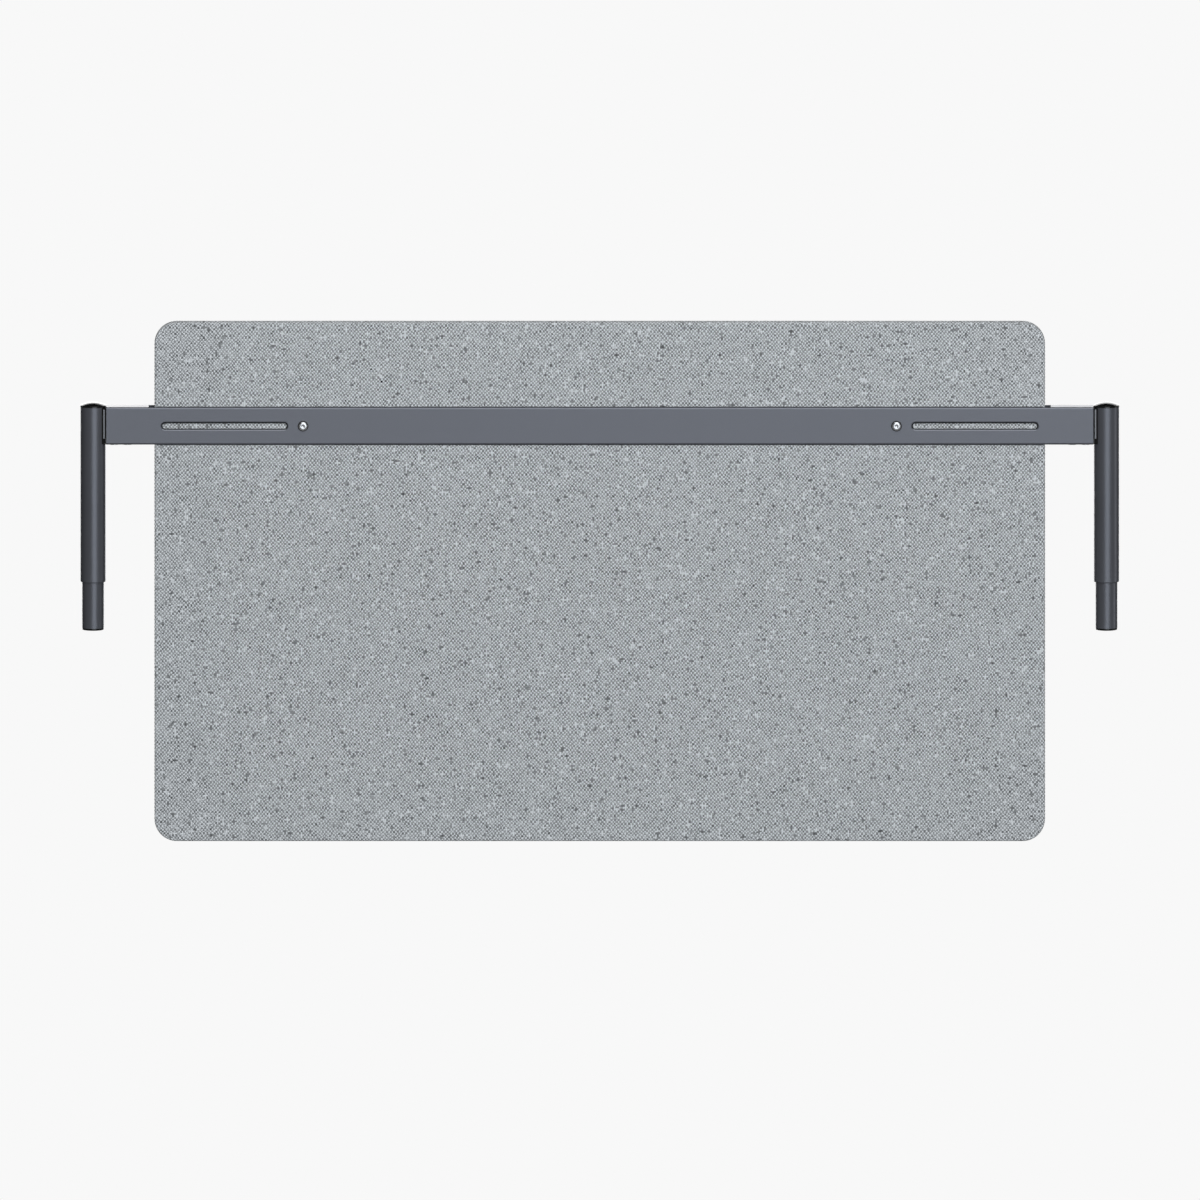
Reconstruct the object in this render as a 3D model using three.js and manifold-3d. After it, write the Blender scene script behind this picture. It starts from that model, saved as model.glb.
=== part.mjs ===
// Desk privacy panel: a fabric-wrapped screen passes through a slotted crossbar, and the crossbar hangs on
// two telescoping posts that plug into sockets at the ends of a desk.
// Millimetres, +Z up. The origin is midway between the posts, in the screen's middle plane, level with the
// lower ends of the outer post tubes. The side with the accessory slots faces -Y.

import * as THREE from "three";
import { mergeVertices } from "three/addons/utils/BufferGeometryUtils.js";
import Module from "manifold-3d";

// Screen
const screenWidth = 1200;
const screenHeight = 706;
const screenThickness = 20;
const screenRise = 1; // of the screen's centre above the lower ends of the posts
const screenCornerRadius = 30;
const screenEdgeRound = 2.5;
const fabricThickness = 0.8;
const padThickness = 2.6;

// Crossbar
const barHeight = 51;
const barWall = 2;
const barCornerRadius = 2.5;
const barSideGap = 0.5; // between the screen and the wall on each side of it
const barSlotRelief = 0.2; // depth that the slot for the screen takes off the inside of each wall
const barSlotEndGap = 8; // free length of the crossbar's slot past each edge of the screen
const leastInnerRound = 0.5; // of the crossbar's inner corners and the lining inside the fabric's edge

// Accessory slots in the front wall of the crossbar
const accessorySlotLength = 170;
const accessorySlotHeight = 10;
const accessorySlotInset = 9.2; // from the screen's edge to the slot's outer end
const accessorySlotChamfer = 0.6;
const accessorySlotEndFlat = 0.02; // straight stretch left in the middle of each round end

// Screws that clamp the screen to the front wall of the crossbar
const screwInset = 200; // from the screen's edge to the screw
const screwRadius = 3;
const screwLength = 16;
const screwHeadRadius = 6;
const screwHeadHeight = 3.3;
const screwHeadRimHeight = 1;
const screwHeadFlat = 0.9; // ring between the key socket and the dome
const hexKeyRadius = 2.3;
const hexKeyDepth = 2;
const washerRadius = 7.2;
const washerThickness = 0.8;
const insertRadius = 5.5;
const insertFloor = 1; // core left behind the blind hole of the insert
const threadChamfer = 0.5; // at the ends of every screw

// Posts
const postOffset = 83; // from the screen's edge to the post's axis
const postRadius = 17;
const postWall = 2;
const postLength = 239;
const postEndRound = 1.5;
const postTopChamfer = 0.4;

// Caps on the posts
const capOverhang = 0.5;
const capRimHeight = 1.2;
const capRimRound = 0.6;
const capRimSweep = 0.75; // of the quarter turn from the rim to the dome
const capDomeHeight = 3.3;
const plugSkirtLength = 12;
const plugSkirtWall = 2;

// Lower tubes, which slide in the posts
const lowerTubeWall = 2;
const lowerTubeExposed = 65; // below the post, foot included
const lowerTubeInserted = 105;
const footHeight = 2;
const footRound = 0.8;
const glideHeight = 3;

// Brackets between the posts and the crossbar
const bracketFlangeInset = 3.9; // from the end of the crossbar back to the flange's edges
const bracketFlangeGap = 1.4; // between the flange and the end of the crossbar
const tongueLength = 41; // past the end of the crossbar
const tongueWall = 4;
const nutRoom = 6.3; // under the tongue, inside the crossbar

// Threaded inserts and set screws that push the tongues against the crossbar's top wall
const barNutFirst = 11; // from the end of the crossbar
const barNutPitch = 18;
const nutBodyRadius = 4.5;
const nutFlangeRadius = 6.5;
const nutFlangeHeight = 0.8;
const nutTopGap = 1.3; // below the tongue
const setScrewRadius = 3;
const setScrewSocketRadius = 1.7;
const setScrewSocketDepth = 3;

// Height locks on the backs of the posts
const lockHeight = 22; // above the post's lower end
const lockBossRadius = 6;
const lockBossReach = 6; // past the post's surface
const lockScrewRecess = 0.5;

// Clearances
const gap = 0.3; // between pieces that touch
const slideGap = 0.3; // around the lower tube, in the post
const threadGap = 0.3; // around every screw
const overcut = 1; // how far a cut runs past the face that it opens

// Facets
const roundSegments = 32;
const holeSegments = 16;
const cornerSegments = 6;
const edgeSegments = 2;
const barCornerSegments = 3;
const slotEndSegments = 4;
const domeSegments = 4;
const mergeDistance = 1e-4;

// Sizes that follow
const screenHalfThickness = screenThickness / 2;
const coreHalfThickness = screenHalfThickness - fabricThickness - padThickness - 2 * gap;
const fillingInset = fabricThickness + gap; // of the pads and the core, inside the fabric's edge
const barDepth = screenThickness + 2 * (barSideGap + barWall);
const barFace = barDepth / 2;
const barTop = postLength;
const barBottom = barTop - barHeight;
const barMiddle = (barTop + barBottom) / 2;
const postX = screenWidth / 2 + postOffset;
const barEndReach = postRadius + gap; // from the post's axis to the end of the crossbar
const barHalfLength = postX - barEndReach;
const screwX = screenWidth / 2 - screwInset;
const accessorySlotX = screenWidth / 2 - accessorySlotInset - accessorySlotLength / 2;
const postBore = postRadius - postWall;
const lowerTubeRadius = postBore - slideGap;
const lowerTubeBore = lowerTubeRadius - lowerTubeWall;
const footBottom = -lowerTubeExposed;
const lowerTubeBottom = footBottom + footHeight + gap;
const tongueTop = barTop - barWall - gap;
const tongueBottom = barBottom + barWall + nutRoom;
const tongueHalfDepth = barFace - barWall - gap;
const flangeTop = tongueTop + gap;
const barNutPositions = [barNutFirst, barNutFirst + barNutPitch];

const fabricGrey = { color: 0xa0a4a7, roughness: 0.95, metalness: 0 };
const padWhite = { color: 0xd8d8d2, roughness: 1, metalness: 0 };
const boardBrown = { color: 0x9c7f5c, roughness: 0.9, metalness: 0 };
const graphitePaint = { color: 0x4b4d52, roughness: 0.45, metalness: 0.6 };
const castGrey = { color: 0x5a5c60, roughness: 0.5, metalness: 0.6 };
const blackPlastic = { color: 0x141415, roughness: 0.3, metalness: 0 };
const brightSteel = { color: 0xc9cbcd, roughness: 0.3, metalness: 0.9 };
const darkSteel = { color: 0x2f3032, roughness: 0.45, metalness: 0.8 };

const wasm = await Module();
wasm.setup();

// ------------------------------------------------------------------------------------------------
// Solids

function solidFrom(geometry) {
  const bare = geometry.clone();
  bare.deleteAttribute("normal");
  bare.deleteAttribute("uv");
  const merged = mergeVertices(bare, mergeDistance);
  const vertProperties = new Float32Array(merged.attributes.position.array);
  const triVerts = new Uint32Array(merged.index.array);
  return new wasm.Manifold(new wasm.Mesh({ numProp: 3, vertProperties, triVerts }));
}

function geometryFrom(solid) {
  const mesh = solid.getMesh();
  const geometry = new THREE.BufferGeometry();
  geometry.setAttribute("position", new THREE.BufferAttribute(mesh.vertProperties, 3));
  geometry.setIndex(new THREE.BufferAttribute(mesh.triVerts, 1));
  geometry.computeVertexNormals();
  return geometry;
}

function cut(body, ...cutters) {
  let solid = solidFrom(body);
  for (const cutter of cutters) solid = solid.subtract(solidFrom(cutter));
  return geometryFrom(solid);
}

function join(body, ...others) {
  let solid = solidFrom(body);
  for (const other of others) solid = solid.add(solidFrom(other));
  return geometryFrom(solid);
}

function common(body, other) {
  return geometryFrom(solidFrom(body).intersect(solidFrom(other)));
}

function box(lowX, highX, lowY, highY, lowZ, highZ) {
  const geometry = new THREE.BoxGeometry(highX - lowX, highY - lowY, highZ - lowZ);
  return geometry.translate((lowX + highX) / 2, (lowY + highY) / 2, (lowZ + highZ) / 2);
}

// An upright round bar; sides is 6 for a hexagon.
function uprightRod(radius, low, high, sides = holeSegments) {
  const geometry = new THREE.CylinderGeometry(radius, radius, high - low, sides);
  return geometry.rotateX(Math.PI / 2).translate(0, 0, (low + high) / 2);
}

// A round bar along Y, from lowY to highY.
function levelRod(radius, x, lowY, highY, z) {
  const geometry = new THREE.CylinderGeometry(radius, radius, highY - lowY, holeSegments);
  return geometry.translate(x, (lowY + highY) / 2, z);
}

// A body of revolution about +Z from [radius, height] corners, counter-clockwise.
function turned(corners, segments = roundSegments) {
  const profile = corners.map(([radius, height]) => new THREE.Vector2(radius, height));
  return new THREE.LatheGeometry(profile, segments).rotateX(Math.PI / 2);
}

// The points of a round corner, as [radius, height], from one angle to another in quarter turns.
function roundCorner(centreRadius, centreHeight, round, fromQuarter, toQuarter, steps = edgeSegments) {
  const points = [];
  for (let i = 0; i <= steps; i++) {
    const angle = ((fromQuarter + ((toQuarter - fromQuarter) * i) / steps) * Math.PI) / 2;
    points.push([centreRadius + round * Math.cos(angle), centreHeight + round * Math.sin(angle)]);
  }
  return points;
}

function closed(corners) {
  return [...corners, corners[0]];
}

function roundedRectangle(width, height, radius) {
  const shape = new THREE.Shape();
  const x = width / 2 - radius;
  const y = height / 2 - radius;
  shape.absarc(x, y, radius, 0, Math.PI / 2);
  shape.absarc(-x, y, radius, Math.PI / 2, Math.PI);
  shape.absarc(-x, -y, radius, Math.PI, 1.5 * Math.PI);
  shape.absarc(x, -y, radius, 1.5 * Math.PI, 2 * Math.PI);
  return shape;
}

// An upright plate round the screen's centre, from lowY to highY, its outlines rounded by edgeRound.
function uprightPlate(width, height, radius, lowY, highY, edgeRound) {
  const geometry = new THREE.ExtrudeGeometry(roundedRectangle(width, height, radius), {
    depth: highY - lowY - 2 * edgeRound,
    curveSegments: cornerSegments,
    bevelEnabled: edgeRound > 0,
    bevelThickness: edgeRound,
    bevelSize: edgeRound,
    bevelOffset: -edgeRound,
    bevelSegments: edgeSegments,
  });
  return geometry.rotateX(Math.PI / 2).translate(0, highY - edgeRound, screenRise);
}

// A bar along X with a rounded rectangular section, centred on the origin.
function levelBar(length, depth, height, radius) {
  const geometry = new THREE.ExtrudeGeometry(roundedRectangle(depth, height, radius), {
    depth: length,
    curveSegments: barCornerSegments,
    bevelEnabled: false,
  });
  const alongX = new THREE.Matrix4().makeBasis(
    new THREE.Vector3(0, 1, 0),
    new THREE.Vector3(0, 0, 1),
    new THREE.Vector3(1, 0, 0),
  );
  return geometry.applyMatrix4(alongX).translate(-length / 2, 0, 0);
}

// ------------------------------------------------------------------------------------------------
// Screen

// The screen's outer form, drawn in by inset all round.
function screenForm(inset) {
  const half = screenHalfThickness - inset;
  return uprightPlate(
    screenWidth - 2 * inset,
    screenHeight - 2 * inset,
    screenCornerRadius - inset,
    -half,
    half,
    Math.max(screenEdgeRound - inset, leastInnerRound),
  );
}

// Half of the fabric: one face, wrapped round the edges to the seam at mid-thickness. The front's side is -1.
function fabricCover(side) {
  const half = slab((side * gap) / 2, side * screenThickness);
  return common(cut(screenForm(0), screenForm(fabricThickness)), half);
}

// Everything between two depths, wider than the screen.
function slab(fromY, toY) {
  const lowY = Math.min(fromY, toY);
  const highY = Math.max(fromY, toY);
  return box(-screenWidth, screenWidth, lowY, highY, -screenHeight, screenHeight);
}

function coreBoard() {
  return uprightPlate(
    screenWidth - 2 * fillingInset,
    screenHeight - 2 * fillingInset,
    screenCornerRadius - fillingInset,
    -coreHalfThickness,
    coreHalfThickness,
    0,
  );
}

function pad(side) {
  const inner = side * (coreHalfThickness + gap);
  return common(screenForm(fillingInset), slab(inner, side * screenThickness));
}

// The holes for the two screws and their inserts, through whatever lies between lowY and highY.
function screwHoles(radius, lowY, highY) {
  return [-screwX, screwX].map((x) => levelRod(radius, x, lowY, highY, barMiddle));
}

const insertFront = -(screenHalfThickness - fabricThickness - gap);
const insertBack = coreHalfThickness - insertFloor;

function threadedInsert() {
  const length = insertBack - insertFront;
  const bore = screwRadius + threadGap;
  return turned(
    closed([
      [bore, 0],
      [insertRadius, 0],
      [insertRadius, length],
      [bore, length],
    ]),
    holeSegments,
  );
}

// ------------------------------------------------------------------------------------------------
// Crossbar

function crossbar() {
  const length = 2 * barHalfLength;
  const body = levelBar(length, barDepth, barHeight, barCornerRadius).translate(0, 0, barMiddle);
  const boreDepth = barDepth - 2 * barWall;
  const boreHeight = barHeight - 2 * barWall;
  const boreRadius = Math.max(barCornerRadius - barWall, leastInnerRound);
  const bore = levelBar(length + 2 * overcut, boreDepth, boreHeight, boreRadius).translate(0, 0, barMiddle);
  const slotHalfLength = screenWidth / 2 + barSlotEndGap;
  const slotHalfDepth = screenHalfThickness + barSideGap + barSlotRelief;
  const screenSlot = box(
    -slotHalfLength,
    slotHalfLength,
    -slotHalfDepth,
    slotHalfDepth,
    barBottom - overcut,
    barTop + overcut,
  );
  const nutHoles = [];
  for (const side of [-1, 1]) {
    for (const x of barNutPositions) {
      const hole = uprightRod(nutBodyRadius + gap, barBottom - overcut, barBottom + barWall + overcut);
      nutHoles.push(hole.translate(side * (barHalfLength - x), 0, 0));
    }
  }
  const slots = [-accessorySlotX, accessorySlotX].flatMap((x) => accessorySlot(x));
  const holes = screwHoles(screwRadius + threadGap, -barFace - overcut, 0);
  return cut(body, bore, screenSlot, ...slots, ...holes, ...nutHoles);
}

// The cutters for one accessory slot: the slot itself and the chamfer round its front edge.
function accessorySlot(x) {
  const endRadius = (accessorySlotHeight - accessorySlotEndFlat) / 2;
  const outline = roundedRectangle(accessorySlotLength, accessorySlotHeight, endRadius);
  const through = new THREE.ExtrudeGeometry(outline, {
    depth: barWall + 2 * overcut,
    curveSegments: slotEndSegments,
    bevelEnabled: false,
  });
  const flare = new THREE.ExtrudeGeometry(outline, {
    depth: overcut,
    curveSegments: slotEndSegments,
    bevelThickness: accessorySlotChamfer,
    bevelSize: accessorySlotChamfer,
    bevelSegments: 1,
  });
  through.rotateX(Math.PI / 2).translate(x, -barFace + barWall + overcut, barMiddle);
  flare.rotateX(Math.PI / 2).translate(x, -barFace, barMiddle);
  return [through, flare];
}

function buttonScrew() {
  const dome = [];
  const flatRadius = hexKeyRadius + screwHeadFlat;
  for (let i = 0; i <= domeSegments; i++) {
    const angle = (i / domeSegments) * (Math.PI / 2);
    const radius = flatRadius + (screwHeadRadius - flatRadius) * Math.cos(angle);
    const height = screwHeadRimHeight + (screwHeadHeight - screwHeadRimHeight) * Math.sin(angle);
    dome.push([radius, height]);
  }
  const body = turned(
    [
      [0, -screwLength],
      [screwRadius - threadChamfer, -screwLength],
      [screwRadius, -screwLength + threadChamfer],
      [screwRadius, 0],
      [screwHeadRadius, 0],
      ...dome,
      [0, screwHeadHeight],
    ],
    holeSegments,
  );
  return cut(body, uprightRod(hexKeyRadius, screwHeadHeight - hexKeyDepth, screwHeadHeight + overcut, 6));
}

function washer() {
  const bore = screwRadius + threadGap;
  return turned(
    closed([
      [bore, 0],
      [washerRadius, 0],
      [washerRadius, washerThickness / 2],
      [washerRadius - washerThickness / 2, washerThickness],
      [bore, washerThickness],
    ]),
    holeSegments,
  );
}

// ------------------------------------------------------------------------------------------------
// Posts, standing at the origin with the crossbar towards +X

function postTube() {
  const tube = turned(
    closed([
      [postBore, 0],
      ...roundCorner(postRadius - postEndRound, postEndRound, postEndRound, -1, 0),
      [postRadius, postLength - postTopChamfer],
      [postRadius - postTopChamfer, postLength],
      [postBore, postLength],
    ]),
  );
  return cut(tube, levelRod(setScrewRadius + threadGap, 0, 0, postRadius + overcut, lockHeight));
}

// A plug with a skirt that fits in a bore: the skirt hangs below the flange, whose corners are given from its
// lower outer one to the axis.
function skirtedPlug(bore, flangeCorners) {
  const skirt = bore - gap;
  return turned([
    [0, -plugSkirtWall],
    [skirt - plugSkirtWall, -plugSkirtWall],
    [skirt - plugSkirtWall, -plugSkirtLength],
    [skirt, -plugSkirtLength],
    [skirt, 0],
    ...flangeCorners,
  ]);
}

function postCap() {
  const rim = postRadius + capOverhang;
  const corners = [
    [rim, 0],
    ...roundCorner(rim - capRimRound, capRimHeight - capRimRound, capRimRound, 0, capRimSweep),
  ];
  const domeRadius = corners[corners.length - 1][0];
  const domeFoot = corners[corners.length - 1][1];
  for (let i = 1; i <= domeSegments; i++) {
    const share = i / domeSegments;
    const radius = domeRadius * (1 - share);
    corners.push([radius, domeFoot + capDomeHeight * (1 - (radius / domeRadius) ** 2)]);
  }
  return skirtedPlug(postBore, corners);
}

function glide() {
  return skirtedPlug(lowerTubeBore, [
    [lowerTubeRadius, 0],
    [lowerTubeRadius, glideHeight - footRound],
    [lowerTubeRadius - footRound, glideHeight],
    [0, glideHeight],
  ]);
}

function foot() {
  return skirtedPlug(lowerTubeBore, [
    [lowerTubeRadius, 0],
    ...roundCorner(lowerTubeRadius - footRound, footHeight - footRound, footRound, 0, 1),
    [0, footHeight],
  ]);
}

function lowerTube() {
  return turned(
    closed([
      [lowerTubeBore, lowerTubeBottom],
      [lowerTubeRadius, lowerTubeBottom],
      [lowerTubeRadius, lowerTubeInserted],
      [lowerTubeBore, lowerTubeInserted],
    ]),
  );
}

// A saddle against the post, with flanges at the crossbar's end and a hollow tongue inside the crossbar.
function bracket() {
  const flangeHalfDepth = barFace - gap;
  const tongueEnd = barEndReach + tongueLength;
  const flangeEdge = barEndReach - bracketFlangeInset;
  const flangeEnd = barEndReach - bracketFlangeGap;
  const flange = box(flangeEdge, flangeEnd, -flangeHalfDepth, flangeHalfDepth, tongueBottom, flangeTop);
  const tongue = box(
    flangeEdge,
    tongueEnd,
    -tongueHalfDepth,
    tongueHalfDepth,
    tongueBottom,
    tongueTop,
  );
  const pocket = box(
    barEndReach + tongueWall,
    tongueEnd + overcut,
    -tongueHalfDepth + tongueWall,
    tongueHalfDepth - tongueWall,
    tongueBottom + tongueWall,
    tongueTop - tongueWall,
  );
  const saddle = turned([
    [0, tongueBottom - overcut],
    [postRadius + gap, tongueBottom - overcut],
    [postRadius + gap, flangeTop + overcut],
    [0, flangeTop + overcut],
  ]);
  return cut(join(flange, tongue), pocket, saddle);
}

// A flanged threaded insert for the crossbar's lower wall, upright, its flange below 0.
function barNut() {
  const bore = setScrewRadius + threadGap;
  const top = barWall + nutRoom - nutTopGap;
  return turned(
    closed([
      [bore, -nutFlangeHeight - gap],
      [nutFlangeRadius, -nutFlangeHeight - gap],
      [nutFlangeRadius, -gap],
      [nutBodyRadius, -gap],
      [nutBodyRadius, top],
      [bore, top],
    ]),
    holeSegments,
  );
}

// A set screw along +Z, with its key socket at the low end.
function setScrew(length) {
  const body = turned(
    [
      [0, 0],
      [setScrewRadius - threadChamfer, 0],
      [setScrewRadius, threadChamfer],
      [setScrewRadius, length - threadChamfer],
      [setScrewRadius - threadChamfer, length],
      [0, length],
    ],
    holeSegments,
  );
  return cut(body, uprightRod(setScrewSocketRadius, -overcut, setScrewSocketDepth, 6));
}

function lockBoss() {
  const boss = levelRod(lockBossRadius, 0, 0, postRadius + lockBossReach, lockHeight);
  const seat = turned([
    [0, lockHeight - 2 * lockBossRadius],
    [postRadius + gap, lockHeight - 2 * lockBossRadius],
    [postRadius + gap, lockHeight + 2 * lockBossRadius],
    [0, lockHeight + 2 * lockBossRadius],
  ]);
  const bore = levelRod(setScrewRadius + threadGap, 0, 0, postRadius + lockBossReach + overcut, lockHeight);
  return cut(boss, seat, bore);
}

// ------------------------------------------------------------------------------------------------
// Assembly

function place(parent, name, geometry, finish) {
  const mesh = new THREE.Mesh(geometry, new THREE.MeshStandardMaterial(finish));
  mesh.name = name;
  parent.add(mesh);
  return mesh;
}

const privacyPanel = new THREE.Group();
const sides = [
  ["left", -1],
  ["right", 1],
];

function addScreen() {
  const screen = new THREE.Group();
  const hole = screwRadius + threadGap;
  const insertHole = insertRadius + gap;
  const frontFabric = cut(fabricCover(-1), ...screwHoles(hole, -screenThickness, 0));
  const frontPad = cut(pad(-1), ...screwHoles(insertHole, -screenThickness, 0));
  const core = cut(coreBoard(), ...screwHoles(insertHole, -screenThickness, insertBack + gap));
  place(screen, "front_fabric_cover", frontFabric, fabricGrey);
  place(screen, "rear_fabric_cover", fabricCover(1), fabricGrey);
  place(screen, "front_pad", frontPad, padWhite);
  place(screen, "rear_pad", pad(1), padWhite);
  place(screen, "core_board", core, boardBrown);
  privacyPanel.add(screen);
}

function addScreenScrews() {
  for (const [side, sign] of sides) {
    const insert = place(privacyPanel, side + "_screen_insert", threadedInsert(), brightSteel);
    insert.rotation.x = -Math.PI / 2;
    insert.position.set(sign * screwX, insertFront, barMiddle);
    const ring = place(privacyPanel, side + "_screw_washer", washer(), blackPlastic);
    ring.rotation.x = Math.PI / 2;
    ring.position.set(sign * screwX, -barFace - gap, barMiddle);
    const screw = place(privacyPanel, side + "_screen_screw", buttonScrew(), brightSteel);
    screw.rotation.x = Math.PI / 2;
    screw.position.set(sign * screwX, -barFace - washerThickness - 2 * gap, barMiddle);
  }
}

// The bracket, inserts and set screws at one end of the crossbar, turned to face the crossbar.
function addBarFixing(post, side, sign) {
  const fixing = new THREE.Group();
  fixing.rotation.z = sign > 0 ? Math.PI : 0;
  place(fixing, side + "_post_bracket", bracket(), castGrey);
  barNutPositions.forEach((x, i) => {
    const label = side + "_bar_" + ["outer", "inner"][i];
    const nut = place(fixing, label + "_nut", barNut(), brightSteel);
    nut.position.set(barEndReach + x, 0, barBottom);
    const screwBottom = barBottom - nutFlangeHeight;
    const screw = place(fixing, label + "_set_screw", setScrew(tongueBottom - gap - screwBottom), darkSteel);
    screw.position.set(barEndReach + x, 0, screwBottom);
  });
  post.add(fixing);
}

function addPost([side, sign]) {
  const post = new THREE.Group();
  post.position.x = sign * postX;
  place(post, side + "_post_tube", postTube(), graphitePaint);
  const cap = place(post, side + "_post_cap", postCap(), blackPlastic);
  cap.position.z = postLength + gap;
  addBarFixing(post, side, sign);
  place(post, side + "_lock_boss", lockBoss(), graphitePaint);
  const lockScrewLength = postRadius + lockBossReach - lockScrewRecess - lowerTubeRadius - gap;
  const lockScrew = place(post, side + "_lock_screw", setScrew(lockScrewLength), darkSteel);
  lockScrew.rotation.x = Math.PI / 2;
  lockScrew.position.set(0, postRadius + lockBossReach - lockScrewRecess, lockHeight);
  place(post, side + "_lower_tube", lowerTube(), graphitePaint);
  const top = place(post, side + "_tube_glide", glide(), blackPlastic);
  top.position.z = lowerTubeInserted + gap;
  const bottom = place(post, side + "_foot_plug", foot(), blackPlastic);
  bottom.rotation.x = Math.PI;
  bottom.position.z = footBottom + footHeight;
  privacyPanel.add(post);
}

addScreen();
place(privacyPanel, "crossbar_tube", crossbar(), graphitePaint);
addScreenScrews();
sides.forEach(addPost);

export default privacyPanel;
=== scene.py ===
"""The looks of a desk privacy panel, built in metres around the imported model.

A fabric-wrapped screen passes through a slotted crossbar, and the crossbar hangs on two telescoping posts.
+Z is up, and the side with the accessory slots faces -Y.
"""

import math

import bmesh
import bpy
from mathutils import Matrix, Vector


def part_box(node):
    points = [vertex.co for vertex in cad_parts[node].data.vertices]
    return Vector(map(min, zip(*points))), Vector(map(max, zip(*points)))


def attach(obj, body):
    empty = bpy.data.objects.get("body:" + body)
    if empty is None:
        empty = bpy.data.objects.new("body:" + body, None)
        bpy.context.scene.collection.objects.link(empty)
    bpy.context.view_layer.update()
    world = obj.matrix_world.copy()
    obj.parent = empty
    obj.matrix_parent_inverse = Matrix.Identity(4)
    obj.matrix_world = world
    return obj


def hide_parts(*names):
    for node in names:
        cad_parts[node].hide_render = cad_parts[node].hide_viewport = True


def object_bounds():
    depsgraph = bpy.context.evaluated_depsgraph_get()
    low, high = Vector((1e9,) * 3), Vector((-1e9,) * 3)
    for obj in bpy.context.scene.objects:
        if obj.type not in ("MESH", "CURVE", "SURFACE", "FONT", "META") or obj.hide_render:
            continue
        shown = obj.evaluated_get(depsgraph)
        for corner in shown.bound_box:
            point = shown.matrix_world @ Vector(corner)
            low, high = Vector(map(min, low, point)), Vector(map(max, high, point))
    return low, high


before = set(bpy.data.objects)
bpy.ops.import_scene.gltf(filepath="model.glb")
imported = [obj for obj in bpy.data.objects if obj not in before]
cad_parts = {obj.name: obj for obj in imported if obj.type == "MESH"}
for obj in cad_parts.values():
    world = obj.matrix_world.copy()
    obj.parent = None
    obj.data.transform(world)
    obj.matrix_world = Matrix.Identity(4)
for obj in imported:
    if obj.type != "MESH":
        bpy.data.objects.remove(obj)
cad_low, cad_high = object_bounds()

MM = 0.001
SIDES = (("left", -1), ("right", 1))

# ----------------------------------------------------------------------------------------------
# Sizes that the frame's boxes don't give

GAP = 0.3 * MM  # between pieces that touch

# Screen
SCREEN_CORNER = 30 * MM
SCREEN_EDGE_ROUND = 2.4 * MM
FABRIC = 0.8 * MM
FACE_CROWN = 0.35 * MM  # how much lower the face lies near its edge
CROWN_REACH = 45 * MM
SEAM_LIP = 0.45 * MM
STITCH_PITCH = 5 * MM
STITCH_LENGTH = 3.4 * MM
STITCH_RADIUS = 0.32 * MM
STITCH_SLANT = 0.5 * MM

# Crossbar
BAR_WALL = 2 * MM
BAR_CORNER = 2.5 * MM
BAR_INNER_CORNER = 0.6 * MM
BAR_EDGE = 0.6 * MM
BAR_SLOT_END_GAP = 8 * MM
BAR_SLOT_SIDE_GAP = 0.7 * MM
SLOT_LENGTH = 170 * MM
SLOT_HEIGHT = 10 * MM
SLOT_INSET = 9.2 * MM
SLOT_LIP = 1.2 * MM
SLOT_LIP_DEPTH = 0.7 * MM
BAR_BEVEL = 0.15 * MM
SCREEN_SLOT_CORNER = 0.5 * MM
NEARLY_ROUND = 0.999  # of half the height, so that a slot's round ends keep a short straight side

# Slot liners, gaskets at the crossbar's ends and lip seals along the screen: black pieces whose black stands
# in for the shade at the slots' edges, in the gaps at the crossbar's ends and where the screen enters the
# crossbar
SLOT_LINER = 1.2 * MM
LINER_RECESS = 0.75 * MM
LINER_EDGE = 0.25 * MM
LINER_CLEARANCE = 0.01 * MM
SEAL_RECESS = 0.05 * MM  # of the gaskets behind the crossbar's face
FLANGE_COVER = 0.4 * MM  # how far a gasket laps over the bracket's front edge
SEAL_LIP = 1.65 * MM  # of the gaskets past the bracket, over the post
SEAL_INSET = 0.9 * MM
SEAL_CLEARANCE = 0.05 * MM
SEAL_END_GAP = 0.04 * MM  # how far a gasket stops short of the crossbar's end
SEAL_BRIDGE = 1 * MM  # of a gasket over its window
SEAL_BEVEL = 0.12 * MM
FLANGE_WIDTH = 2.5 * MM
SEAL_ROOT = 1.5 * MM
SEAL_STANDS = 0.6 * MM
SEAL_SLOPE_FOOT = 0.3  # of the seal's height, where its outer side starts to slope in
SEAL_TIP = 0.15 * MM

# Screws, washers, inserts and nuts
SCREW_RADIUS = 3 * MM
SCREW_PITCH = 1 * MM
THREAD_DEPTH = 0.35 * MM
THREAD_GAP = 0.3 * MM
HEAD_HEIGHT = 3.3 * MM
HEAD_BEVEL = 0.12 * MM
HEAD_FOOT_ROUND = 0.2 * MM
HEAD_RIM = 1.7 * MM
HEAD_FLAT = 0.9 * MM
THREAD_RUN_OUT = 0.8 * MM  # of plain shank under the head
HEX_KEY_RADIUS = 2.3 * MM
HEX_KEY_DEPTH = 2 * MM
SET_SCREW_KEY_RADIUS = 1.7 * MM
SET_SCREW_KEY_DEPTH = 3 * MM
KEY_CONE = 0.4  # of a key socket's radius, the depth of the drilled cone at its floor
NUT_BODY_RADIUS = 4.5 * MM

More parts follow.
